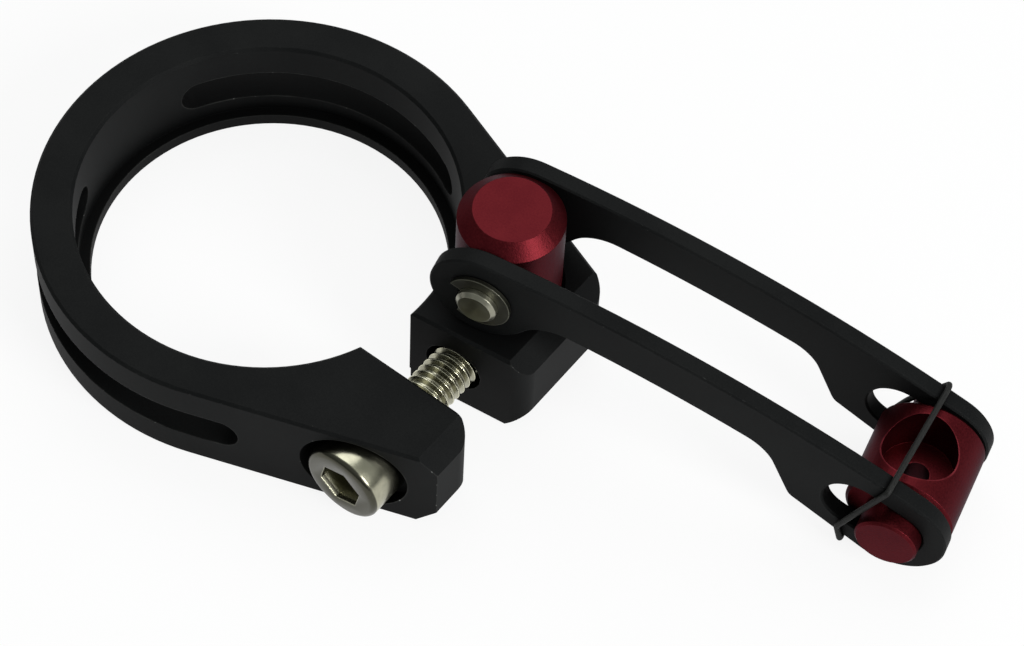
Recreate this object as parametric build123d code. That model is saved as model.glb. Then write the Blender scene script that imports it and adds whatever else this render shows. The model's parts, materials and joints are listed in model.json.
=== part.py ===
from build123d import *

import math
import os

# Seatpost clamp with a swinging cable hanger.
# Millimetres and degrees. +Z runs up the bore. The origin is on the bore's axis, at the ledge
# that the end of the seat tube stops against. The lugs point along +X, the clamp bolt along Y.

# Ring
BORE_D = 31.8
RING_WALL = 3.45
RING_HEIGHT = 9.4
LIP_HEIGHT = 1.4
LIP_WIDTH = 0.9
LIP_RELIEF_ANGLE = 22.0
LIP_RELIEF_DEPTH = 0.15
WINDOW_HEIGHT = 3.2
WINDOW_ABOVE_BOTTOM = 3.0
WINDOW_FROM_ANGLE = 56.0
WINDOW_TO_ANGLE = 158.0
RING_EDGE_BREAK = 0.25

# Lugs and the slit between them
FLANK_ANGLE = 20.0
SLIT_NEAR_FACE = 6.05
SLIT_WIDTH = 4.9
SLIT_TILT_ANGLE = 7.6
END_WALL = 2.16
END_TOP_RUN = 1.6
END_TOP_DROP = 1.6
END_FOOT_RUN = 1.8
END_FOOT_DROP = 2.2
SLIT_NEAR_CORNER_R = 2.2
SLIT_FAR_CORNER_R = 1.5
FAR_CORNER_R = 2.2
SEAT_THICKNESS = 4.95

# Barrel nut
NUT_D = 8.7
NUT_FLATS = 8.16
NUT_TO_BORE = 0.6
NUT_OFFSET = 6.4
NUT_ABOVE_PIVOT = 4.95
NUT_CHAMFER = 1.2
NUT_BOTTOM_GAP = 0.3
NUT_HOLE_CLEARANCE = 0.05

# Clamp bolt
BOLT_D = 4.0
BOLT_LENGTH = 20.0
HEAD_D = 7.0
HEAD_HEIGHT = 4.0
HEAD_EDGE = 0.4
SOCKET_ACROSS_FLATS = 3.5
SOCKET_DEPTH = 2.2
SOCKET_TURN_ANGLE = 12.0
BOLT_TIP_CHAMFER = 0.5
BOLT_HOLE_CLEARANCE = 0.5
THREAD_CLEARANCE = 0.05
POCKET_CLEARANCE = 0.75
HEAD_SEAT_GAP = 0.03

# Pivot pin and its clip
PIN_D = 3.45
PIN_END = 1.15
PIN_HEAD_D = 5.6
PIN_HEAD_HEIGHT = 0.9
PIN_EDGE = 0.3
GROOVE_DEPTH = 0.35
CLIP_D = 5.4
CLIP_THICKNESS = 0.35
CLIP_MOUTH_ANGLE = 76.0
CLIP_TURN_ANGLE = 197.0
CLIP_CLEARANCE = 0.03
PIN_CLEARANCE = 0.03

# Link plates
PLATE_THICKNESS = 1.55
PIVOT_END_R = 4.45
PIVOT_GAP = 0.25
PIVOT_NECK_R = 4.0
PLATE_BEND_R = 125.0
NECK_HEIGHT = 4.3
REACH = 36.66
EYE_WALL = 1.95
SLOT_TRAVEL = 3.6
FLARE_BEFORE_EYE = 11.5
FOOT_BEFORE_EYE = 8.6
FLARE_DROP = 4.83
FLARE_INNER_R = 4.0
FLARE_OUTER_R = 1.3
PLATE_EDGE_BREAK = 0.15
ARM_YAW_ANGLE = 13.2
REST_GAP = 0.03
SIDE_CLEARANCE = 0.06
PIVOT_CLEARANCE = 0.05

# Cable stop
STOP_D = 9.0
STOP_EDGE = 0.3
STOP_LEAN_ANGLE = 8.0
JOURNAL_D = 5.2
JOURNAL_PROUD = 1.3
JOURNAL_EDGE = 0.2
JOURNAL_CLEARANCE = 0.05
SEAT_D = 6.1
SEAT_FLOOR = 0.2
CABLE_HOLE_D = 2.2

# Retaining band
BAND_D = 0.5
BAND_CLEARANCE = 0.05
BAND_CORNER = 0.3
BAND_SIDE_CORNER = 0.8
BAND_NEAR_TOP_BACK = 1.6
BAND_FAR_TOP_BACK = 1.1
BAND_SIDE_BACK = 4.0
BAND_SIDE_DROP = 7.9
BAND_BOTTOM_BACK = 3.35

# Ring heights and radii
bore_r = BORE_D / 2
ring_r = bore_r + RING_WALL
ring_bottom = -LIP_HEIGHT
ring_top = ring_bottom + RING_HEIGHT
bolt_z = (ring_bottom + ring_top) / 2

# Nut, lug end and bolt seat
nut_r = NUT_D / 2
nut_hole_r = nut_r + NUT_HOLE_CLEARANCE
nut_x = math.sqrt((bore_r + NUT_TO_BORE + nut_hole_r) ** 2 - NUT_OFFSET ** 2)
nut_y = NUT_OFFSET
lug_end = nut_x + nut_hole_r + END_WALL
seat_y = -SLIT_NEAR_FACE - SEAT_THICKNESS
shank_r = BOLT_D / 2

# Pivot and hanger, in arm coordinates: X along the arm, Y along the pin, Z up across the arm
pivot = Vector(nut_x, nut_y, ring_top + PIVOT_GAP + PIVOT_END_R)
plate_inner = NUT_FLATS / 2 + SIDE_CLEARANCE
plate_outer = plate_inner + PLATE_THICKNESS
pin_r = PIN_D / 2
clip_inside = plate_outer + SIDE_CLEARANCE
clip_outside = clip_inside + CLIP_THICKNESS
journal_r = JOURNAL_D / 2
slot_r = journal_r + JOURNAL_CLEARANCE
eye_r = slot_r + EYE_WALL


def on_bend(along, depth):
    """Point at a distance along the arm and a depth below its arched top edge."""
    radius = PLATE_BEND_R - depth
    return along, PIVOT_END_R - PLATE_BEND_R + math.sqrt(radius ** 2 - along ** 2)


eye_x, eye_z = on_bend(REACH, eye_r)
eye_tilt = math.asin(REACH / (PLATE_BEND_R - eye_r))

# The neck's lower edge drops to a foot, and from there a straight side runs on to touch the eye's round end
flare_x = REACH - FLARE_BEFORE_EYE
foot_x = REACH - FOOT_BEFORE_EYE
neck_end = on_bend(flare_x, NECK_HEIGHT)
foot_z = neck_end[1] - FLARE_DROP
foot_to_eye = math.hypot(eye_x - foot_x, eye_z - foot_z)
side_slope = math.atan2(eye_z - foot_z, eye_x - foot_x) - math.asin(eye_r / foot_to_eye)

# The hanger lies with its eye on the surface that the ring lies on
eye_drop = pivot.Z - eye_r - ring_bottom - REST_GAP
arm_drop = math.degrees(math.asin(eye_drop / math.hypot(eye_x, eye_z)) - math.atan2(-eye_z, eye_x))
arm_place = Pos(pivot) * Rot(0, 0, ARM_YAW_ANGLE) * Rot(0, arm_drop, 0)


def along_z(radius, start, end):
    """Round bar along Z, from one height to another."""
    return Pos(0, 0, start) * Cylinder(radius, end - start, align=(Align.CENTER, Align.CENTER, Align.MIN))


def along_y(radius, start, end):
    """Round bar along Y, from one place to another."""
    return Rot(-90, 0, 0) * along_z(radius, start, end)


def nearest_vertex(shape, x, y):
    """Corner of a flat outline that lies closest to a point."""
    return shape.vertices().sort_by_distance((x, y, 0))[0]


def ring_outline():
    """Plan of the ring and its two lugs, with the slit between them and the hole inside the lip."""
    tangent = math.radians(90 - FLANK_ANGLE)
    root_x = ring_r * math.cos(tangent)
    root_y = ring_r * math.sin(tangent)
    end_y = root_y - (lug_end - root_x) * math.tan(math.radians(FLANK_ANGLE))
    flanks = make_face(
        Polyline(
            (0, 0), (root_x, -root_y), (lug_end, -end_y), (lug_end, end_y), (root_x, root_y), close=True
        )
    )
    spread = math.tan(math.radians(SLIT_TILT_ANGLE))
    far_start = SLIT_WIDTH - SLIT_NEAR_FACE
    far_at_end = far_start + (lug_end - bore_r) * spread
    slit_past = lug_end + RING_WALL
    slit = make_face(
        Polyline(
            (0, -SLIT_NEAR_FACE), (slit_past, -SLIT_NEAR_FACE),
            (slit_past, far_start + (slit_past - bore_r) * spread), (bore_r, far_start), (0, far_start),
            close=True,
        )
    )
    outline = Circle(ring_r) + flanks - Circle(bore_r - LIP_WIDTH) - slit
    outline = fillet(nearest_vertex(outline, lug_end, end_y), FAR_CORNER_R)
    outline = fillet(nearest_vertex(outline, lug_end, far_at_end), SLIT_FAR_CORNER_R)
    return fillet(nearest_vertex(outline, lug_end, -SLIT_NEAR_FACE), SLIT_NEAR_CORNER_R)


def end_bevel(run, drop, rim_z, outward):
    """Wedge that bevels the lugs' ends at one rim; outward is 1 at the top and -1 at the bottom."""
    past = lug_end + END_WALL
    clear_z = rim_z + outward * END_WALL
    low_z = rim_z - outward * drop
    profile = make_face(
        Polyline(
            (lug_end - run, rim_z), (lug_end, low_z), (past, low_z), (past, clear_z),
            (lug_end - run, clear_z), close=True,
        )
    )
    return extrude(Plane.XZ * profile, ring_r, both=True)


def lip_relief():
    """Round cut that takes the lip away beside the slit, and lets it rise again at the relief's angle."""
    lip_r = bore_r - LIP_WIDTH
    deepest = bore_r + LIP_RELIEF_DEPTH
    rise_x = lip_r * math.cos(math.radians(LIP_RELIEF_ANGLE))
    relief_r = (deepest ** 2 + lip_r ** 2 - 2 * deepest * rise_x) / (2 * (deepest - rise_x))
    return Pos(deepest - relief_r, 0, 0) * along_z(relief_r, ring_bottom, 0)


def window():
    """Long slot with round ends, through the ring's wall on the far side."""
    window_r = WINDOW_HEIGHT / 2
    window_z = ring_bottom + WINDOW_ABOVE_BOTTOM + window_r
    inner = bore_r - RING_WALL
    outer = ring_r + RING_WALL
    end_turn = math.degrees(window_r / bore_r)
    section = Pos((inner + outer) / 2, window_z) * Rectangle(outer - inner, WINDOW_HEIGHT)
    turn = WINDOW_TO_ANGLE - WINDOW_FROM_ANGLE - 2 * end_turn
    cut = Rot(0, 0, WINDOW_FROM_ANGLE + end_turn) * revolve(Plane.XZ * section, Axis.Z, turn)
    round_end = Pos(0, 0, window_z) * Rot(0, 90, 0) * along_z(window_r, inner, outer)
    for angle in (WINDOW_FROM_ANGLE + end_turn, WINDOW_TO_ANGLE - end_turn):
        cut += Rot(0, 0, angle) * round_end
    return cut


def top_rim(radius):
    """Cone that breaks the upper rim of a hole in the ring."""
    return Pos(0, 0, ring_top - RING_EDGE_BREAK) * Cone(
        radius, radius + RING_EDGE_BREAK, RING_EDGE_BREAK, align=(Align.CENTER, Align.CENTER, Align.MIN)
    )


def clamp_ring():
    """Split ring with two lugs, a ledge for the tube's end, and holes for the nut and the bolt."""
    ring = Pos(0, 0, ring_bottom) * extrude(ring_outline(), RING_HEIGHT)
    ring = chamfer(ring.faces().filter_by(Axis.Z).edges(), RING_EDGE_BREAK)
    ring -= along_z(bore_r, 0, ring_top)
    ring -= lip_relief()
    ring -= end_bevel(END_TOP_RUN, END_TOP_DROP, ring_top, 1)
    ring -= end_bevel(END_FOOT_RUN, END_FOOT_DROP, ring_bottom, -1)
    far_window = window()
    ring -= far_window
    ring -= mirror(far_window, Plane.XZ)
    ring -= Pos(nut_x, nut_y, 0) * along_z(nut_hole_r, ring_bottom, ring_top)
    bolt_hole = along_y(shank_r + BOLT_HOLE_CLEARANCE, -ring_r, ring_r)
    pocket = along_y(HEAD_D / 2 + POCKET_CLEARANCE, -ring_r, seat_y)
    ring -= Pos(nut_x, 0, bolt_z) * (bolt_hole + pocket)
    return ring - top_rim(bore_r) - Pos(nut_x, nut_y, 0) * top_rim(nut_hole_r)


def barrel_nut():
    """Round nut that stands in the far lug, tapped for the bolt and cross-drilled for the pin."""
    top = pivot.Z + NUT_ABOVE_PIVOT
    nut = Pos(nut_x, nut_y, 0) * along_z(nut_r, ring_bottom + NUT_BOTTOM_GAP, top)
    nut = chamfer(nut.edges().sort_by(Axis.Z)[-1], NUT_CHAMFER)
    flats_height = top - ring_top
    beside_flats = Box(2 * NUT_D, 2 * NUT_D, flats_height) - Box(2 * NUT_D, NUT_FLATS, flats_height)
    nut -= Pos(nut_x, nut_y, ring_top + flats_height / 2) * Rot(0, 0, ARM_YAW_ANGLE) * beside_flats
    nut -= Pos(nut_x, nut_y, bolt_z) * along_y(shank_r + THREAD_CLEARANCE, -nut_r, nut_r)
    return nut - arm_place * along_y(pin_r + PIN_CLEARANCE, -nut_r, nut_r)


def clamp_bolt():
    """Socket bolt, its head seated in the pocket of the near lug and its tip through the nut."""
    head_r = HEAD_D / 2
    tip_start = BOLT_LENGTH - BOLT_TIP_CHAMFER
    profile = make_face(
        Polyline(
            (0, -HEAD_HEIGHT), (head_r, -HEAD_HEIGHT), (head_r, 0), (shank_r, 0), (shank_r, tip_start),
            (shank_r - BOLT_TIP_CHAMFER, BOLT_LENGTH), (0, BOLT_LENGTH), close=True,
        )
    )
    profile = chamfer(nearest_vertex(profile, head_r, -HEAD_HEIGHT), HEAD_EDGE)
    bolt = revolve(Plane.XZ * profile, Axis.Z)
    socket_r = SOCKET_ACROSS_FLATS / math.sqrt(3)
    hexagon = RegularPolygon(socket_r, 6, rotation=SOCKET_TURN_ANGLE)
    bolt -= Pos(0, 0, -HEAD_HEIGHT) * extrude(hexagon, SOCKET_DEPTH)
    return Pos(nut_x, seat_y - HEAD_SEAT_GAP, bolt_z) * Rot(-90, 0, 0) * bolt


def pivot_pin():
    """Headed pin through the nut and both plates, with a groove near its plain end."""
    head_from = plate_outer + SIDE_CLEARANCE
    pin = along_y(pin_r, -plate_outer - PIN_END, head_from)
    pin = chamfer(pin.edges().sort_by(Axis.Y)[0], PIN_EDGE)
    head = along_y(PIN_HEAD_D / 2, head_from, head_from + PIN_HEAD_HEIGHT)
    head = chamfer(head.edges().sort_by(Axis.Y)[-1], PIN_EDGE)
    groove_from = -clip_outside - CLIP_CLEARANCE
    groove_to = -clip_inside + CLIP_CLEARANCE
    groove = along_y(pin_r, groove_from, groove_to) - along_y(pin_r - GROOVE_DEPTH, groove_from, groove_to)
    return arm_place * (pin + head - groove)


def pin_clip():
    """Open spring ring that sits in the pin's groove."""
    half = math.radians(CLIP_MOUTH_ANGLE / 2)
    past_x = CLIP_D * math.cos(half)
    past_y = CLIP_D * math.sin(half)
    mouth = make_face(Polyline((0, 0), (past_x, past_y), (past_x, -past_y), close=True))
    hole_r = pin_r - GROOVE_DEPTH + CLIP_CLEARANCE
    flat = Circle(CLIP_D / 2) - Circle(hole_r) - Rot(0, 0, CLIP_TURN_ANGLE) * mouth
    return arm_place * Pos(0, -clip_inside, 0) * extrude(Plane.XZ * flat, CLIP_THICKNESS)


def plate_outline():
    """Side view of a link plate: pivot end, arched neck, flare and eye."""
    top_start = on_bend(0, 0)
    top_end = (eye_x + eye_r * math.sin(eye_tilt), eye_z + eye_r * math.cos(eye_tilt))
    top_middle = on_bend(top_end[0] / 2, 0)
    nose_turn = (side_slope - eye_tilt) / 2
    nose = (eye_x + eye_r * math.cos(nose_turn), eye_z + eye_r * math.sin(nose_turn))
    low_end = (eye_x + eye_r * math.sin(side_slope), eye_z - eye_r * math.cos(side_slope))
    foot = (foot_x, foot_z)
    neck_start = on_bend(PIVOT_END_R / 2, NECK_HEIGHT)
    neck_middle = on_bend((flare_x + neck_start[0]) / 2, NECK_HEIGHT)
    edge = [
        ThreePointArc(top_start, top_middle, top_end),
        ThreePointArc(top_end, nose, low_end),
        Line(low_end, foot),
        Line(foot, neck_end),
        ThreePointArc(neck_end, neck_middle, neck_start),
        Line(neck_start, (0, 0)),
        Line((0, 0), top_start),
    ]
    outline = make_face(edge) + Circle(PIVOT_END_R)
    neck_join = on_bend(PIVOT_END_R, NECK_HEIGHT)
    outline = fillet(nearest_vertex(outline, *foot), FLARE_OUTER_R)
    outline = fillet(nearest_vertex(outline, *neck_end), FLARE_INNER_R)
    return fillet(nearest_vertex(outline, *neck_join), PIVOT_NECK_R)


def link_plate(side_y):
    """Flat link with a pivot hole and a slotted eye, its body from side_y towards +Y."""
    slot = Pos(eye_x, eye_z) * Rot(0, 0, -math.degrees(eye_tilt)) * Pos(-SLOT_TRAVEL / 2, 0)
    slot *= SlotCenterToCenter(SLOT_TRAVEL, 2 * slot_r)
    face = plate_outline() - Circle(pin_r + PIVOT_CLEARANCE) - slot
    plate = extrude(Plane.XZ * face, -PLATE_THICKNESS)
    plate = chamfer(plate.faces().filter_by(Axis.Y).edges(), PLATE_EDGE_BREAK)
    return arm_place * Pos(0, side_y, 0) * plate


def cable_stop():
    """Barrel between the plates, seated for a cable's housing and drilled for its wire."""
    half = plate_inner - SIDE_CLEARANCE
    barrel = chamfer(along_y(STOP_D / 2, -half, half).edges(), STOP_EDGE)
    journal_end = plate_outer + JOURNAL_PROUD
    journal = chamfer(along_y(journal_r, -journal_end, journal_end).edges(), JOURNAL_EDGE)
    drill = along_z(CABLE_HOLE_D / 2, -STOP_D, STOP_D)
    seat = along_z(SEAT_D / 2, SEAT_FLOOR, STOP_D)
    return arm_place * Pos(eye_x, 0, eye_z) * Rot(0, -STOP_LEAN_ANGLE, 0) * (barrel + journal - drill - seat)


def bent_cord(start, corners, end, cord_r):
    """Round cord from start to end past a list of corners, each cut off at its own setback."""
    stops = [start] + [corner for corner, setback in corners] + [end]
    points = [start]
    for before, (corner, setback), after in zip(stops, corners, stops[2:]):
        points.append(corner + (before - corner).normalized() * setback)
        points.append(corner + (after - corner).normalized() * setback)
    points.append(end)
    section = Plane(start, z_dir=points[1] - start) * Circle(cord_r)
    return sweep(section, Polyline(*points), transition=Transition.RIGHT)


def retaining_band():
    """Elastic loop round both plates, across the cable stop's mouth."""
    band_r = BAND_D / 2
    stand_off = band_r + BAND_CLEARANCE
    side_y = plate_outer + stand_off
    near_x, near_z = on_bend(eye_x - BAND_NEAR_TOP_BACK, -stand_off)
    far_x, far_z = on_bend(eye_x - BAND_FAR_TOP_BACK, -stand_off)
    side_x = eye_x - BAND_SIDE_BACK
    low_x = eye_x - BAND_BOTTOM_BACK
    low_z = foot_z + (low_x - foot_x) * math.tan(side_slope) - stand_off
    side_z = near_z - BAND_SIDE_DROP
    top_middle = Vector((near_x + far_x) / 2, 0, (near_z + far_z) / 2)
    low_middle = Vector(low_x, 0, low_z)
    far_corners = [
        (Vector(far_x, side_y, far_z), BAND_CORNER),
        (Vector(side_x, side_y, side_z), BAND_SIDE_CORNER),
        (Vector(low_x, side_y, low_z), BAND_CORNER),
    ]
    near_corners = [
        (Vector(low_x, -side_y, low_z), BAND_CORNER),
        (Vector(side_x, -side_y, side_z), BAND_SIDE_CORNER),
        (Vector(near_x, -side_y, near_z), BAND_CORNER),
    ]
    far_half = bent_cord(top_middle, far_corners, low_middle, band_r)
    near_half = bent_cord(low_middle, near_corners, top_middle, band_r)
    return arm_place * (far_half + near_half)


pieces = {
    "clamp_ring": clamp_ring(),
    "barrel_nut": barrel_nut(),
    "clamp_bolt": clamp_bolt(),
    "pivot_pin": pivot_pin(),
    "pin_clip": pin_clip(),
    "near_link_plate": link_plate(-plate_outer),
    "far_link_plate": link_plate(plate_inner),
    "cable_stop": cable_stop(),
    "retaining_band": retaining_band(),
}

os.makedirs("parts", exist_ok=True)
for name, piece in pieces.items():
    export_step(piece, f"parts/{name}.step")
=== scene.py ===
"""Finishes, threaded bolt, elastic band and studio for the seatpost clamp."""
import json
import math

import bpy
from bpy.props import FloatProperty, FloatVectorProperty, IntProperty, PointerProperty
from mathutils import Matrix, Quaternion, Vector


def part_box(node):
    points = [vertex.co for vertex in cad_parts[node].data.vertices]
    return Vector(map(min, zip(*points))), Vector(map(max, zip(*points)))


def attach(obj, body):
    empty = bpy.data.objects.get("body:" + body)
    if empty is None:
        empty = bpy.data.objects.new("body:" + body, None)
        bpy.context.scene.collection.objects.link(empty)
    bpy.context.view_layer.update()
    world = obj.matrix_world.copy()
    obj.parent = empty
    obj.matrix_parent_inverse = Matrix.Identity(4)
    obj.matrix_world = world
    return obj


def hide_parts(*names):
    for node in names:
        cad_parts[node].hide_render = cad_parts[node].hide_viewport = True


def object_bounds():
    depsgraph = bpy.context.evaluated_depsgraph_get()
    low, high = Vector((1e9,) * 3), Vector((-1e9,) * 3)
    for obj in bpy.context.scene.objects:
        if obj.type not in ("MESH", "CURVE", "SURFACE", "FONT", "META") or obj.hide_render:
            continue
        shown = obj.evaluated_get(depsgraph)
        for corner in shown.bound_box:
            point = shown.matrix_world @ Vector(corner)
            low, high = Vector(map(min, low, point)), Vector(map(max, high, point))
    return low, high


bl_info = {
    "name": "Seatpost Clamp",
    "version": (1, 0, 0),
    "blender": (4, 5, 0),
    "location": "View3D > Sidebar > Clamp",
    "description": "Dresses the packed seatpost clamp with its finishes, bolt thread, band and studio",
    "category": "Object",
}

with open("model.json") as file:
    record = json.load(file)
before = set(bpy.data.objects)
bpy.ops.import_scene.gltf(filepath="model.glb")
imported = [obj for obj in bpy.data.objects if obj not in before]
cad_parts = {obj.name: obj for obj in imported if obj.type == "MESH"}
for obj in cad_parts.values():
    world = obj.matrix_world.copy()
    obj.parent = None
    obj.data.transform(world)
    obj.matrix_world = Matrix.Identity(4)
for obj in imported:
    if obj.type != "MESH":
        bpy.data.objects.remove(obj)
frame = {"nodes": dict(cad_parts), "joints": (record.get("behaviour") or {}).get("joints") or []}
CAD_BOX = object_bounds()
JOINTS = {joint["name"]: joint for joint in frame["joints"]}
MM = 0.001

# Point near the middle of the clamp that both softboxes face.
LAMP_AIM = Vector((0.018, 0.002, 0.004))
WHITE = (1.0, 1.0, 1.0)

# Route of the elastic band in millimetres from the stop's centre: along the hanger, along the pin, and up.
# Each bend has three points close together, so that the band stays tight on the plates' edges.
# The far side has one more, where the band passes the stop's journal.
BAND_ROUTE = (
    (-0.55, 5.10, 5.25), (-0.50, 5.94, 5.22), (-0.85, 5.94, 4.55),
    (-2.85, 5.99, 1.05),
    (-3.75, 5.99, -1.60), (-4.00, 5.99, -2.29), (-3.81, 5.99, -2.75),
    (-3.54, 5.99, -3.44), (-3.35, 5.99, -3.88), (-3.35, 5.30, -3.88),
    (-3.35, -5.30, -3.88), (-3.35, -5.97, -3.88), (-3.54, -5.97, -3.44),
    (-3.81, -5.97, -2.75), (-4.00, -5.97, -2.29), (-3.83, -5.97, -1.71),
    (-1.66, -5.94, 4.75), (-1.42, -5.94, 5.50), (-1.38, -5.15, 5.49),
)

# A point this close to a height or a radius counts as on it.
NEAR = 0.01 * MM
# Points this close together are merged.
WELD = 0.002 * MM
# How far a cutting tool reaches past the face that it cuts.
CUT_PAST = 1.0 * MM
# How far the bolt's threaded rod reaches into its head.
INSIDE_HEAD = 0.4 * MM
# Facets round the bolt.
ROUND_FACETS = 96
# Turns of thread past each end of the bolt, which are cut off again.
SPARE_TURNS = 3
# Edges of the bolt that bend more than this stay sharp.
SHARP = math.radians(32)

# Sockets of the Mix node that hold its factor and its colours.
MIX_FACTOR, MIX_FIRST, MIX_SECOND, MIX_RESULT = 0, 6, 7, 2


class ClampFinishes(bpy.types.PropertyGroup):
    """Colours and surface of the clamp's metals and its band."""

    black: FloatVectorProperty(
        name="Black", description="Dye of the black anodised parts", subtype="COLOR",
        default=(0.0042, 0.0046, 0.0048),
    )
    black_thin: FloatVectorProperty(
        name="Black, thin", description="Black parts where the dye is thinner", subtype="COLOR",
        default=(0.0078, 0.0083, 0.0083),
    )
    # Painted shade: black parts are darkened close to other parts, where shade falls.
    black_painted_shade: FloatVectorProperty(
        name="Black, sheltered", description="Black parts close to other parts", subtype="COLOR",
        default=(0.0022, 0.0023, 0.0024),
    )
    # Rubbed edges are paler, as wear and as a painted edge highlight.
    black_edge_wear_and_highlight: FloatVectorProperty(
        name="Black, edges", description="Black parts where edges have been rubbed", subtype="COLOR",
        default=(0.030, 0.031, 0.029),
    )
    bare: FloatVectorProperty(
        name="Bare metal", description="Aluminium in the small nicks of the edges", subtype="COLOR",
        default=(0.36, 0.37, 0.36),
    )
    red: FloatVectorProperty(
        name="Red", description="Dye of the red anodised parts", subtype="COLOR",
        default=(0.0975, 0.0106, 0.0137),
    )
    red_deep: FloatVectorProperty(
        name="Red, deep", description="Red parts where the dye is thicker", subtype="COLOR",
        default=(0.074, 0.0075, 0.0105),
    )
    # Painted shade: red parts are darkened deep inside their holes.
    red_painted_shade: FloatVectorProperty(
        name="Red, in the holes", description="Red parts deep inside their holes", subtype="COLOR",
        default=(0.036, 0.0036, 0.0052),
    )
    red_grazing: FloatVectorProperty(
        name="Red, grazing", description="Tint of the red parts seen at a low angle", subtype="COLOR",
        default=(0.50, 0.60, 0.62),
    )
    # Rubbed edges are paler red, as wear and as a painted edge highlight.
    red_edge_wear_and_highlight: FloatVectorProperty(
        name="Red, edges", description="Red parts where edges have been rubbed", subtype="COLOR",
        default=(0.26, 0.035, 0.045),
    )
    steel: FloatVectorProperty(
        name="Steel", description="Colour of the bolt", subtype="COLOR", default=(0.46, 0.45, 0.34)
    )
    pin_steel: FloatVectorProperty(
        name="Pin steel", description="Colour of the pivot pin", subtype="COLOR", default=(0.32, 0.315, 0.25)
    )
    spring_steel: FloatVectorProperty(
        name="Spring steel", description="Colour of the pin's clip", subtype="COLOR",
        default=(0.09, 0.09, 0.07),
    )
    band: FloatVectorProperty(
        name="Band", description="Colour of the elastic band", subtype="COLOR",
        default=(0.0068, 0.0071, 0.0066),
    )
    grain: FloatProperty(
        name="Grain", description="Size of the blasted grain under the black dye", unit="LENGTH",
        default=0.11 * MM,
    )
    red_grain: FloatProperty(
        name="Red grain", description="Size of the grain under the red dye", unit="LENGTH",
        default=0.165 * MM,
    )
    patch: FloatProperty(
        name="Patch", description="Size of the cloudy patches in the black dye", unit="LENGTH",
        default=6.0 * MM,
    )
    red_patch: FloatProperty(
        name="Red patch", description="Size of the cloudy patches in the red dye", unit="LENGTH",
        default=3.5 * MM,
    )
    stain: FloatProperty(
        name="Stain", description="Size of the stains on the steel", unit="LENGTH", default=1.6 * MM
    )
    rub: FloatProperty(
        name="Rub", description="Width of the rubbed line along edges", unit="LENGTH", default=0.14 * MM
    )


class ClampBolt(bpy.types.PropertyGroup):
    """Sizes of the clamp bolt that its outline in the frame doesn't give."""

    pitch: FloatProperty(
        name="Pitch", description="Advance of the thread in one turn", unit="LENGTH", default=0.7 * MM
    )
    shank: FloatProperty(
        name="Shank diameter", description="Across the thread's crests", unit="LENGTH", default=4.0 * MM
    )
    head_height: FloatProperty(
        name="Head height", description="From the seat to the head's front", unit="LENGTH", default=4.0 * MM
    )
    head_round: FloatProperty(
        name="Head rounding", description="Radius at the head's front rim", unit="LENGTH", default=0.5 * MM
    )
    seat_bevel: FloatProperty(
        name="Seat bevel", description="Bevel round the seat of the head", unit="LENGTH", default=0.12 * MM
    )
    tip: FloatProperty(
        name="Tip bevel", description="Bevel at the end of the thread", unit="LENGTH", default=0.5 * MM
    )
    socket: FloatProperty(
        name="Socket", description="Hexagon across its flats", unit="LENGTH", default=3.5 * MM
    )
    socket_depth: FloatProperty(
        name="Socket depth", description="Depth of the hexagon", unit="LENGTH", default=2.2 * MM
    )
    socket_bevel: FloatProperty(
        name="Socket bevel", description="Bevel round the hexagon's mouth", unit="LENGTH", default=0.08 * MM
    )
    socket_turn: FloatProperty(
        name="Socket turn", description="How far the bolt is turned", unit="ROTATION",
        default=math.radians(12.0),
    )
    steps: IntProperty(name="Steps", description="Facets in one turn of the thread", default=48, min=12)


class ClampBand(bpy.types.PropertyGroup):
    """Size and slope of the elastic band, which follows the hanger."""

    diameter: FloatProperty(
        name="Diameter", description="Thickness of the elastic cord", unit="LENGTH", default=0.5 * MM
    )
    slope: FloatProperty(
        name="Hanger slope", description="How far the hanger slopes down at rest", unit="ROTATION",
        default=math.radians(5.686),
    )


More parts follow.
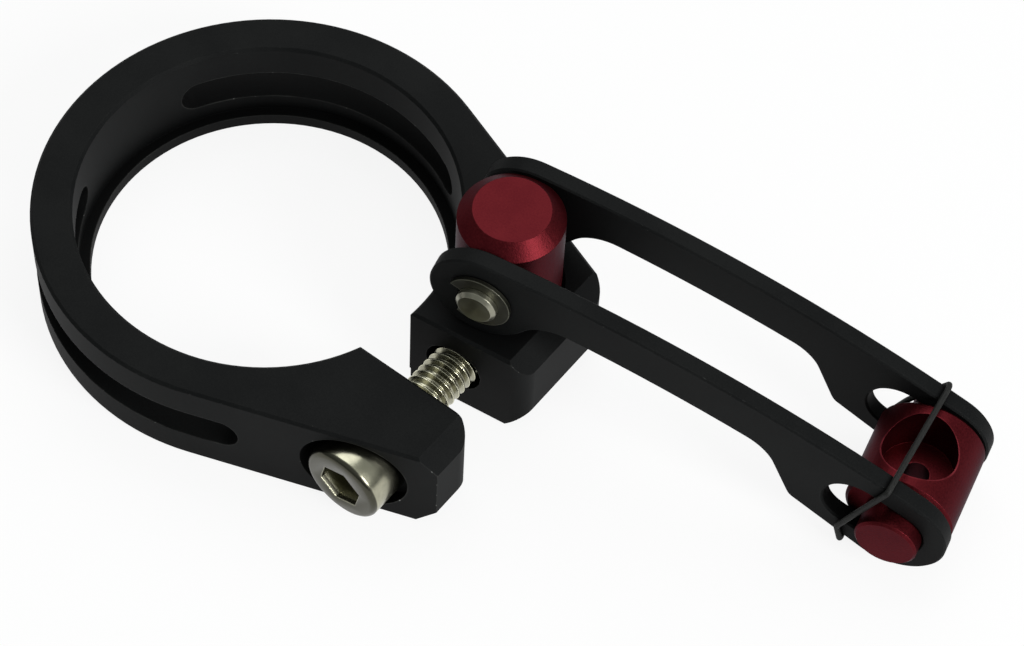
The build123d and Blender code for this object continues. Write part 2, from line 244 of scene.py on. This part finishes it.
class ClampStage(bpy.types.PropertyGroup):
    """Camera, lamps, room and floor."""

    camera_at: FloatVectorProperty(
        name="Camera", description="Place of the camera", subtype="XYZ", unit="LENGTH",
        default=(0.10521, -0.11583, 0.22503),
    )
    camera_aim: FloatVectorProperty(
        name="Aim", description="Point that the camera looks at", subtype="XYZ", unit="LENGTH",
        default=(0.01972, 0.00761, 0.0),
    )
    camera_roll: FloatProperty(
        name="Roll", description="Turn of the camera about its view", unit="ROTATION",
        default=math.radians(3.67),
    )
    camera_lens: FloatProperty(name="Lens", description="Focal length in millimetres", default=114.7)
    floor_size: FloatProperty(name="Floor", description="Side of the floor", unit="LENGTH", default=6.0)
    floor_white: FloatProperty(
        name="Floor white", description="Share of plain white in the floor as it is seen", subtype="FACTOR",
        default=0.88, min=0.0, max=1.0,
    )
    floor_paper: FloatVectorProperty(
        name="Floor paper", description="Colour of the floor under light and shadow", subtype="COLOR",
        default=(0.85, 0.85, 0.85),
    )
    key_towards: FloatVectorProperty(
        name="Key towards", description="Direction of the side softbox", subtype="DIRECTION",
        default=(0.85, -0.06, 0.54),
    )
    key_distance: FloatProperty(
        name="Key distance", description="From the clamp to the side softbox", unit="LENGTH", default=0.6
    )
    key_size: FloatVectorProperty(
        name="Key size", description="Width and height of the side softbox", size=2, unit="LENGTH",
        default=(0.22, 0.26),
    )
    key_power: FloatProperty(name="Key", description="Power of the side softbox", unit="POWER", default=2.8)
    top_towards: FloatVectorProperty(
        name="Top towards", description="Direction of the overhead softbox", subtype="DIRECTION",
        default=(-0.32, 0.46, 0.83),
    )
    top_distance: FloatProperty(
        name="Top distance", description="From the clamp to the overhead softbox", unit="LENGTH", default=0.7
    )
    top_size: FloatVectorProperty(
        name="Top size", description="Width and height of the overhead softbox", size=2, unit="LENGTH",
        default=(0.6, 0.6),
    )
    top_power: FloatProperty(
        name="Top", description="Power of the overhead softbox", unit="POWER", default=2.1
    )
    room_tint: FloatVectorProperty(
        name="Room tint", description="Colour of the room's light", subtype="COLOR",
        default=(0.96, 1.0, 0.98),
    )
    room_low: FloatProperty(
        name="Room, low", description="Brightness of the room at the horizon", default=0.18
    )
    room_high: FloatProperty(name="Room, high", description="Brightness of the room overhead", default=0.5)


class Shade:
    """A socket in a material's nodes that takes part in Python maths."""

    def __init__(self, tree, socket=None):
        self.tree = tree
        self.socket = socket

    def node(self, kind, settings=None, inputs=None, output=0):
        """Add a node: its settings first, then the values or links of its sockets."""
        made = self.tree.nodes.new(kind)
        for name, value in (settings or {}).items():
            setattr(made, name, value)
        for key, value in (inputs or {}).items():
            if isinstance(value, Shade):
                self.tree.links.new(value.socket, made.inputs[key])
            else:
                made.inputs[key].default_value = value
        return Shade(self.tree, made.outputs[output] if len(made.outputs) else None)

    def maths(self, operation, *terms):
        """Math node with an operation on values or Shades."""
        return self.node("ShaderNodeMath", {"operation": operation}, dict(enumerate(terms)))

    def __add__(self, other):
        return self.maths("ADD", self, other)

    __radd__ = __add__

    def __sub__(self, other):
        return self.maths("SUBTRACT", self, other)

    def __rsub__(self, other):
        return self.maths("SUBTRACT", other, self)

    def __mul__(self, other):
        return self.maths("MULTIPLY", self, other)

    __rmul__ = __mul__

    def above(self, low, high):
        """0 below low and 1 above high, with a smooth step between."""
        return self.node(
            "ShaderNodeMapRange", {"interpolation_type": "SMOOTHSTEP"},
            {"Value": self, "From Min": low, "From Max": high, "To Min": 0.0, "To Max": 1.0},
        )

    def blend(self, first, second):
        """Colour between two colours, with this as the factor."""
        return self.node(
            "ShaderNodeMix", {"data_type": "RGBA"},
            {MIX_FACTOR: self, MIX_FIRST: opaque(first), MIX_SECOND: opaque(second)}, output=MIX_RESULT,
        )


def opaque(color):
    """A colour with its alpha. A Shade stays as it is."""
    return color if isinstance(color, Shade) else (*color, 1.0)


def times(color, share):
    """A paler or darker colour."""
    return tuple(min(1.0, share * value) for value in color)


def place(shade):
    """The piece's own coordinates, in metres."""
    return shade.node("ShaderNodeTexCoord", output="Object")


def noise(shade, where, size, detail):
    """Cloudy noise with features of a size in metres."""
    return shade.node("ShaderNodeTexNoise", None, {"Vector": where, "Scale": 1.0 / size, "Detail": detail})


def openness(shade, reach, **settings):
    """Share of the view that is open as far as a reach."""
    return shade.node(
        "ShaderNodeAmbientOcclusion", {"samples": 8, **settings}, {"Distance": reach}, output="AO"
    )


def edge_wear(shade, width):
    """1 along edges that stand out, and 0 further than a width away from them."""
    return (1.0 - openness(shade, width, inside=True, only_local=True)).above(0.08, 0.45)


def open_sky(shade, reach, low, high, own_piece=True):
    """1 where more than the high share of the view is open, and 0 below the low share: the mask of painted
    shade.

    Only the piece itself blocks the view, or every piece does where own_piece is False.
    """
    return openness(shade, reach, only_local=own_piece).above(low, high)


def from_axis(shade, where, point, axis):
    """Distance from a line through a point, and place along it, in metres."""
    turned = axis.to_track_quat("Z", "Y").to_matrix().to_4x4()
    into_line = turned.inverted() @ Matrix.Translation(-point)
    moved = shade.node(
        "ShaderNodeMapping", {"vector_type": "POINT"},
        {"Vector": where, "Location": into_line.to_translation(), "Rotation": into_line.to_euler()},
    )
    flat = shade.node("ShaderNodeVectorMath", {"operation": "MULTIPLY"}, {0: moved, 1: (1.0, 1.0, 0.0)})
    radius = shade.node("ShaderNodeVectorMath", {"operation": "LENGTH"}, {0: flat}, output="Value")
    return radius, shade.node("ShaderNodeSeparateXYZ", None, {"Vector": moved}, output="Z")


def new_material(name):
    """A material with no nodes yet, and a Shade to add them with."""
    material = bpy.data.materials.new(name)
    material.use_nodes = True
    material.node_tree.nodes.clear()
    return material, Shade(material.node_tree)


def finish_with(shade, inputs):
    """Principled surface that ends a material."""
    surface = shade.node("ShaderNodeBsdfPrincipled", None, inputs)
    shade.node("ShaderNodeOutputMaterial", None, {"Surface": surface})


def bump(shade, height, depth, rounding=0.0):
    """Normal with a fine relief, over edges that are rounded a little."""
    inputs = {"Height": height, "Strength": 1.0, "Distance": depth}
    if rounding:
        inputs["Normal"] = shade.node("ShaderNodeBevel", {"samples": 6}, {"Radius": rounding})
    return shade.node("ShaderNodeBump", None, inputs)


def black_anodised(finishes):
    """Satin black dye over a blasted grain, nicked along the edges, and rubbed paler there as wear and as a
    painted edge highlight. Painted shade darkens it close to other parts.
    """
    material, shade = new_material("black_anodised")
    where = place(shade)
    grain = noise(shade, where, finishes.grain, detail=1.0)
    patches = noise(shade, where, finishes.patch, detail=3.0)
    stretches = noise(shade, where, 2.5 * MM, detail=3.0).above(0.25, 0.7)
    # Edges rubbed paler in stretches: wear, and a painted highlight along the edges.
    rubbed = edge_wear(shade, finishes.rub) * stretches
    nicks = rubbed * noise(shade, where, 0.35 * MM, detail=2.0).above(0.67, 0.75)
    clouds = (patches * 0.55 + grain * 0.45).above(0.35, 0.65)
    # Painted shade: the black is darker where other parts and the floor close in the view.
    clear_of_painted_shade = open_sky(shade, 9.0 * MM, 0.45, 0.9, own_piece=False)
    # The dye, with painted shade where the view is closed in.
    dye = clear_of_painted_shade.blend(finishes.black_painted_shade, clouds.blend(finishes.black, finishes.black_thin))
    finish_with(shade, {
        "Base Color": nicks.blend(rubbed.blend(dye, finishes.black_edge_wear_and_highlight), finishes.bare),
        "Metallic": nicks * 0.8,
        "Roughness": 0.53 + patches * 0.08 + grain * 0.06 - rubbed * 0.1,
        "Specular IOR Level": 0.065,
        "Normal": bump(shade, grain, 0.005 * MM, rounding=finishes.rub / 2),
    })
    return material


def red_anodised(finishes):
    """Satin red dye over a fine grain, with the shine of the metal under it. Painted shade darkens it deep
    in its holes, and rubbed edges are paler red, as wear and as a painted edge highlight.
    """
    material, shade = new_material("red_anodised")
    where = place(shade)
    grain = noise(shade, where, finishes.red_grain, detail=1.0)
    patches = noise(shade, where, finishes.red_patch, detail=2.0)
    stretches = noise(shade, where, 2.0 * MM, detail=3.0).above(0.3, 0.7)
    # Edges rubbed paler in stretches: wear, and a painted highlight along the edges.
    rubbed = edge_wear(shade, finishes.rub) * stretches
    clouds = (patches * 0.5 + grain * 0.5).above(0.35, 0.65)
    # Painted shade: the red is darker deep in the part's own holes.
    clear_of_painted_shade = open_sky(shade, 4.0 * MM, 0.02, 0.3)
    # The dye, with painted shade where the view is closed in.
    dye = clear_of_painted_shade.blend(finishes.red_painted_shade, clouds.blend(finishes.red_deep, finishes.red))
    finish_with(shade, {
        "Base Color": rubbed.blend(dye, finishes.red_edge_wear_and_highlight),
        "Metallic": 1.0,
        "Roughness": 0.40 + grain * 0.14,
        "Specular Tint": opaque(finishes.red_grazing),
        "Normal": bump(shade, grain, 0.015 * MM, rounding=finishes.rub / 2),
    })
    return material


def turned_steel(name, color, finishes, point, axis, roughness, painted_shade_share=1.0):
    """Steel with fine rings round an axis, from turning, darker in its grooves and holes as painted shade.
    Before the point it has a share of its colour, as painted shade.
    """
    material, shade = new_material(name)
    where = place(shade)
    radius, along = from_axis(shade, where, point, axis)
    rings = noise(shade, shade.node("ShaderNodeCombineXYZ", None, {"X": radius}), 0.06 * MM, detail=2.0)
    stains = noise(shade, where, finishes.stain, detail=3.0)
    stained = stains.above(0.3, 0.75).blend(times(color, 0.7), color)
    # Painted shade: before the point, the colour is cut to a share of itself.
    past_point = along.above(0.0, finishes.rub)
    # Painted shade: darker in the socket and the thread's grooves, where the view is closed in.
    clear_of_painted_shade = open_sky(shade, 2.5 * MM, 0.3, 0.6)
    plain = clear_of_painted_shade.blend(times(color, 0.55), past_point.blend(times(color, painted_shade_share), stained))
    finish_with(shade, {
        "Base Color": edge_wear(shade, finishes.rub).blend(plain, times(color, 1.9)),
        "Metallic": 1.0,
        "Roughness": roughness + stains * 0.16 + rings * 0.06,
        "Normal": bump(shade, rings, 0.0012 * MM, rounding=finishes.rub / 2),
    })
    return material


def elastic_cord(finishes):
    """Matt black elastic with a fine wound cover."""
    material, shade = new_material("elastic_cord")
    winding = noise(shade, place(shade), 0.12 * MM, detail=2.0)
    finish_with(shade, {
        "Base Color": winding.above(0.35, 0.7).blend(finishes.band, times(finishes.band, 2.2)),
        "Roughness": 0.5 + winding * 0.2,
        "Specular IOR Level": 0.2,
        "Normal": bump(shade, winding, 0.02 * MM),
    })
    return material


def dress(piece, material):
    """Give a piece its one finish."""
    piece.data.materials.clear()
    piece.data.materials.append(material)


def deselect():
    """Leave edit mode, with nothing selected."""
    if bpy.context.mode != "OBJECT":
        bpy.ops.object.mode_set(mode="OBJECT")
    bpy.ops.object.select_all(action="DESELECT")


def activate(piece):
    """Select one piece alone."""
    deselect()
    piece.select_set(True)
    bpy.context.view_layer.objects.active = piece


def bevel_edges(piece, test, offset, segments):
    """Bevel the edges whose two ends pass a test of their place."""
    activate(piece)
    bpy.ops.object.mode_set(mode="EDIT")
    bpy.ops.mesh.select_mode(type="EDGE")
    bpy.ops.mesh.select_all(action="DESELECT")
    bpy.ops.object.mode_set(mode="OBJECT")
    for edge in piece.data.edges:
        edge.select = all(test(piece.data.vertices[index].co) for index in edge.vertices)
    bpy.ops.object.mode_set(mode="EDIT")
    bpy.ops.mesh.bevel(offset=offset, segments=segments)
    bpy.ops.object.mode_set(mode="OBJECT")


def apply_modifier(piece, modifier):
    """Make a modifier's result the piece's mesh."""
    activate(piece)
    bpy.ops.object.modifier_apply(modifier=modifier.name)


def cut(piece, tool, operation):
    """Boolean of a piece with a tool that is used up."""
    modifier = piece.modifiers.new("cut", "BOOLEAN")
    modifier.operation = operation
    modifier.solver = "EXACT"
    modifier.object = tool
    apply_modifier(piece, modifier)
    bpy.data.objects.remove(tool)


def cylinder(radius, low, high, facets=ROUND_FACETS):
    """Upright cylinder between two heights, with its place in its mesh."""
    deselect()
    bpy.ops.mesh.primitive_cylinder_add(
        vertices=facets, radius=radius, depth=high - low, location=(0.0, 0.0, (low + high) / 2)
    )
    bpy.ops.object.transform_apply(location=True, rotation=True, scale=True)
    return bpy.context.object


def thread_rod(sizes, length):
    """Threaded rod along Z, from inside the head to a bevelled tip."""
    crest = sizes.shank / 2
    # A metric thread's depth, flanks and flats are shares of its pitch.
    depth = 0.5413 * sizes.pitch
    flank = sizes.pitch * 5 / 16
    flat = sizes.pitch / 8
    deselect()
    bpy.ops.mesh.primitive_plane_add(size=sizes.pitch, location=(0.0, 0.0, 0.0))
    rod = bpy.context.object
    bpy.ops.object.mode_set(mode="EDIT")
    bpy.ops.mesh.select_all(action="SELECT")
    bpy.ops.mesh.merge(type="CENTER")
    bpy.ops.transform.translate(value=(crest - depth, 0.0, -SPARE_TURNS * sizes.pitch))
    for out, up in ((0.0, flat), (depth, flank), (0.0, flat), (-depth, flank), (0.0, flat)):
        bpy.ops.mesh.extrude_vertices_move(TRANSFORM_OT_translate={"value": (out, 0.0, up)})
    bpy.ops.object.mode_set(mode="OBJECT")
    screw = rod.modifiers.new("thread", "SCREW")
    screw.axis = "Z"
    screw.screw_offset = sizes.pitch
    screw.iterations = math.ceil(length / sizes.pitch) + 2 * SPARE_TURNS
    screw.steps = sizes.steps
    screw.render_steps = sizes.steps
    apply_modifier(rod, screw)
    bpy.ops.object.mode_set(mode="EDIT")
    bpy.ops.mesh.select_all(action="SELECT")
    bpy.ops.mesh.remove_doubles(threshold=WELD)
    for height, way in ((-INSIDE_HEAD, -1.0), (length + INSIDE_HEAD, 1.0)):
        bpy.ops.mesh.select_all(action="SELECT")
        bpy.ops.mesh.bisect(
            plane_co=(0.0, 0.0, height), plane_no=(0.0, 0.0, way), use_fill=True, clear_outer=True
        )
    bpy.ops.mesh.select_all(action="SELECT")
    bpy.ops.mesh.normals_make_consistent(inside=False)
    bpy.ops.object.mode_set(mode="OBJECT")
    # The blank stands clear of the crests, so that it shapes only the tip.
    clear = 2 * NEAR
    blank = cylinder(crest + clear, -2 * INSIDE_HEAD, length)
    bevel_edges(blank, lambda co: abs(co.z - length) < NEAR, sizes.tip + clear, segments=1)
    cut(rod, blank, "INTERSECT")
    return rod


def bolt_head(sizes, radius):
    """Round head below the seat at Z = 0, with a rounded rim and a hexagon socket."""
    front = -sizes.head_height
    corner = sizes.socket / math.sqrt(3)
    head = cylinder(radius, front, 0.0)
    bevel_edges(head, lambda co: abs(co.z - front) < NEAR, sizes.head_round, segments=6)
    bevel_edges(head, lambda co: abs(co.z) < NEAR, sizes.seat_bevel, segments=2)
    cut(head, cylinder(corner, front - CUT_PAST, front + sizes.socket_depth, facets=6), "DIFFERENCE")
    bevel_edges(
        head, lambda co: abs(co.z - front) < NEAR and co.xy.length < corner + NEAR,
        sizes.socket_bevel, segments=2,
    )
    return head


class CLAMP_OT_black_parts(bpy.types.Operator):
    """Finish the ring and the link plates in black"""

    bl_idname = "clamp.black_parts"
    bl_label = "Black Parts"

    def execute(self, context):
        black = black_anodised(context.scene.clamp_finishes)
        for name in ("clamp_ring", "near_link_plate", "far_link_plate"):
            dress(frame["nodes"][name], black)
        return {"FINISHED"}


class CLAMP_OT_red_parts(bpy.types.Operator):
    """Finish the barrel nut and the cable stop in red"""

    bl_idname = "clamp.red_parts"
    bl_label = "Red Parts"

    def execute(self, context):
        red = red_anodised(context.scene.clamp_finishes)
        for name in ("barrel_nut", "cable_stop"):
            dress(frame["nodes"][name], red)
        return {"FINISHED"}


class CLAMP_OT_pivot_pin(bpy.types.Operator):
    """Finish the pivot pin in bright steel and its clip in dark spring steel"""

    bl_idname = "clamp.pivot_pin"
    bl_label = "Pivot Pin"

    def execute(self, context):
        finishes = context.scene.clamp_finishes
        swing = JOINTS["hanger_swing"]
        middle, axis = Vector(swing["pos_m"]), Vector(swing["axis"])
        pin = turned_steel("pin_steel", finishes.pin_steel, finishes, middle, axis, roughness=0.22)
        clip = turned_steel("clip_steel", finishes.spring_steel, finishes, middle, axis, roughness=0.28)
        dress(frame["nodes"]["pivot_pin"], pin)
        dress(frame["nodes"]["pin_clip"], clip)
        return {"FINISHED"}


class CLAMP_OT_threaded_bolt(bpy.types.Operator):
    """Model the clamp bolt with its thread and socket, in place of the plain one"""

    bl_idname = "clamp.threaded_bolt"
    bl_label = "Threaded Bolt"

    def execute(self, context):
        sizes = context.scene.clamp_bolt
        finishes = context.scene.clamp_finishes
        low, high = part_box("clamp_bolt")
        seat = Vector(((low.x + high.x) / 2, low.y + sizes.head_height, (low.z + high.z) / 2))
        rod = thread_rod(sizes, high.y - seat.y)
        head = bolt_head(sizes, (high.x - low.x) / 2)
        activate(head)
        rod.select_set(True)
        bpy.ops.object.join()
        bolt = bpy.context.object
        bolt.name = "threaded_bolt"
        bolt.data.name = "threaded_bolt"
        bolt.matrix_world = (
            Matrix.Translation(seat) @ Matrix.Rotation(-math.pi / 2, 4, "X")
            @ Matrix.Rotation(sizes.socket_turn, 4, "Z")
        )
        bpy.ops.object.transform_apply(location=True, rotation=True, scale=True)
        bpy.ops.object.shade_smooth_by_angle(angle=SHARP)
        # The head's face and most of its rounded rim are darker than its side: painted shade, for the dark
        # surroundings that they mirror.
        rim = Vector((seat.x, low.y + 0.7 * sizes.head_round, seat.z))
        inwards = Vector((0.0, 1.0, 0.0))
        dress(bolt, turned_steel(
            "bolt_steel", finishes.steel, finishes, rim, inwards, roughness=0.13, painted_shade_share=0.15
        ))
        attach(bolt, "bolt")
        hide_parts("clamp_bolt")
        return {"FINISHED"}


class CLAMP_OT_elastic_band(bpy.types.Operator):
    """Model the elastic band, drawn tight round both plates and across the stop's mouth"""

    bl_idname = "clamp.elastic_band"
    bl_label = "Elastic Band"

    def execute(self, context):
        sizes = context.scene.clamp_band
        pin = Vector(JOINTS["hanger_swing"]["axis"])
        hanger = (
            Matrix.Translation(Vector(JOINTS["stop_turn"]["pos_m"]))
            @ Matrix.Rotation(math.atan2(pin.x, -pin.y), 4, "Z")
            @ Matrix.Rotation(sizes.slope, 4, "Y")
        )
        deselect()
        bpy.ops.curve.primitive_nurbs_circle_add()
        band = bpy.context.object
        band.name = "elastic_band"
        band.data.name = "elastic_band"
        line = band.data.splines[0]
        line.points.add(len(BAND_ROUTE) - len(line.points))
        for point, place_mm in zip(line.points, BAND_ROUTE):
            point.co = (*(hanger @ (Vector(place_mm) * MM)), 1.0)
        line.order_u = 3
        line.use_bezier_u = False
        line.use_cyclic_u = True
        line.resolution_u = 8
        band.data.bevel_depth = sizes.diameter / 2
        band.data.bevel_resolution = 5
        bpy.ops.object.convert(target="MESH")
        band = bpy.context.object
        bpy.ops.object.shade_smooth()
        dress(band, elastic_cord(context.scene.clamp_finishes))
        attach(band, "hanger")
        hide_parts("retaining_band")
        return {"FINISHED"}


class CLAMP_OT_stage(bpy.types.Operator):
    """Set up the floor, the lamps, the room and the camera"""

    bl_idname = "clamp.stage"
    bl_label = "Stage"

    def floor(self, stage):
        """Pale floor just under the clamp, which is seen and mirrored as nearly plain white."""
        deselect()
        bpy.ops.mesh.primitive_plane_add(size=stage.floor_size, location=(0.0, 0.0, CAD_BOX[0][2] - NEAR))
        floor = bpy.context.object
        floor.name = "floor"
        material, shade = new_material("floor")
        seen = shade.node("ShaderNodeLightPath", output="Is Camera Ray")
        mirrored = shade.node("ShaderNodeLightPath", output="Is Glossy Ray")
        through = shade.node("ShaderNodeLightPath", output="Is Transmission Ray")
        share = shade.maths("MAXIMUM", shade.maths("MAXIMUM", seen, mirrored), through) * stage.floor_white
        paper = shade.node("ShaderNodeBsdfDiffuse", None, {"Color": opaque(stage.floor_paper)})
        white = shade.node("ShaderNodeEmission", None, {"Color": opaque(WHITE), "Strength": 1.0})
        mixed = shade.node("ShaderNodeMixShader", None, {0: share, 1: paper, 2: white})
        shade.node("ShaderNodeOutputMaterial", None, {"Surface": mixed})
        dress(floor, material)

    def softbox(self, name, direction, distance, size, power):
        """Area lamp that faces the clamp from a direction."""
        deselect()
        towards = Vector(direction).normalized()
        bpy.ops.object.light_add(type="AREA", location=LAMP_AIM + towards * distance)
        lamp = bpy.context.object
        lamp.name = name
        lamp.rotation_euler = towards.to_track_quat("Z", "Y").to_euler()
        lamp.data.shape = "RECTANGLE"
        lamp.data.size, lamp.data.size_y = size
        lamp.data.energy = power

    def room(self, stage):
        """Dim room that grows brighter overhead, and plain white where the camera sees it."""
        world = bpy.data.worlds.new("room")
        bpy.context.scene.world = world
        world.use_nodes = True
        world.node_tree.nodes.clear()
        shade = Shade(world.node_tree)
        seen = shade.node("ShaderNodeLightPath", output="Is Camera Ray")
        direction = shade.node("ShaderNodeTexCoord", output="Generated")
        height = shade.node("ShaderNodeSeparateXYZ", None, {"Vector": direction}, output="Z")
        strength = stage.room_low + height.above(0.0, 0.9) * (stage.room_high - stage.room_low)
        tint = opaque(stage.room_tint)
        dim = shade.node("ShaderNodeBackground", None, {"Color": tint, "Strength": strength})
        white = shade.node("ShaderNodeBackground", None, {"Color": opaque(WHITE), "Strength": 1.0})
        mixed = shade.node("ShaderNodeMixShader", None, {0: seen, 1: dim, 2: white})
        shade.node("ShaderNodeOutputWorld", None, {"Surface": mixed})

    def camera(self, stage):
        """Camera at the photograph's viewing angle."""
        deselect()
        bpy.ops.object.camera_add(location=stage.camera_at)
        camera = bpy.context.object
        look = (Vector(stage.camera_aim) - Vector(stage.camera_at)).to_track_quat("-Z", "Y")
        camera.rotation_euler = (look @ Quaternion((0.0, 0.0, 1.0), stage.camera_roll)).to_euler()
        camera.data.sensor_fit = "HORIZONTAL"
        camera.data.sensor_width = 36.0
        camera.data.lens = stage.camera_lens
        camera.data.clip_start = 0.01
        bpy.context.scene.camera = camera

    def execute(self, context):
        stage = context.scene.clamp_stage
        context.scene.view_settings.view_transform = "Standard"
        self.floor(stage)
        self.room(stage)
        self.softbox("side_softbox", stage.key_towards, stage.key_distance, stage.key_size, stage.key_power)
        self.softbox("top_softbox", stage.top_towards, stage.top_distance, stage.top_size, stage.top_power)
        self.camera(stage)
        return {"FINISHED"}


class CLAMP_PT_sidebar(bpy.types.Panel):
    """Lists the steps and sizes of the clamp"""

    bl_idname = "CLAMP_PT_sidebar"
    bl_label = "Seatpost Clamp"
    bl_space_type = "VIEW_3D"
    bl_region_type = "UI"
    bl_category = "Clamp"

    def draw(self, context):
        for operator in OPERATORS:
            self.layout.operator(operator.bl_idname)
        for group_name in GROUPS:
            group = getattr(context.scene, group_name)
            box = self.layout.box()
            for name in group.__annotations__:
                box.prop(group, name)


GROUPS = {
    "clamp_finishes": ClampFinishes,
    "clamp_bolt": ClampBolt,
    "clamp_band": ClampBand,
    "clamp_stage": ClampStage,
}
OPERATORS = (
    CLAMP_OT_black_parts,
    CLAMP_OT_red_parts,
    CLAMP_OT_pivot_pin,
    CLAMP_OT_threaded_bolt,
    CLAMP_OT_elastic_band,
    CLAMP_OT_stage,
)
CLASSES = (*GROUPS.values(), *OPERATORS, CLAMP_PT_sidebar)


def register():
    """Register the classes, and give each scene its finishes and sizes."""
    for cls in CLASSES:
        bpy.utils.register_class(cls)
    for group_name, group in GROUPS.items():
        setattr(bpy.types.Scene, group_name, PointerProperty(type=group))


def unregister():
    """Undo what register does."""
    for group_name in GROUPS:
        delattr(bpy.types.Scene, group_name)
    for cls in reversed(CLASSES):
        bpy.utils.unregister_class(cls)


def main():
    """Dress and build the pieces in order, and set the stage."""
    register()
    bpy.ops.clamp.black_parts()
    bpy.ops.clamp.red_parts()
    bpy.ops.clamp.pivot_pin()
    bpy.ops.clamp.threaded_bolt()
    bpy.ops.clamp.elastic_band()
    bpy.ops.clamp.stage()


if __name__ == "__main__":
    main()
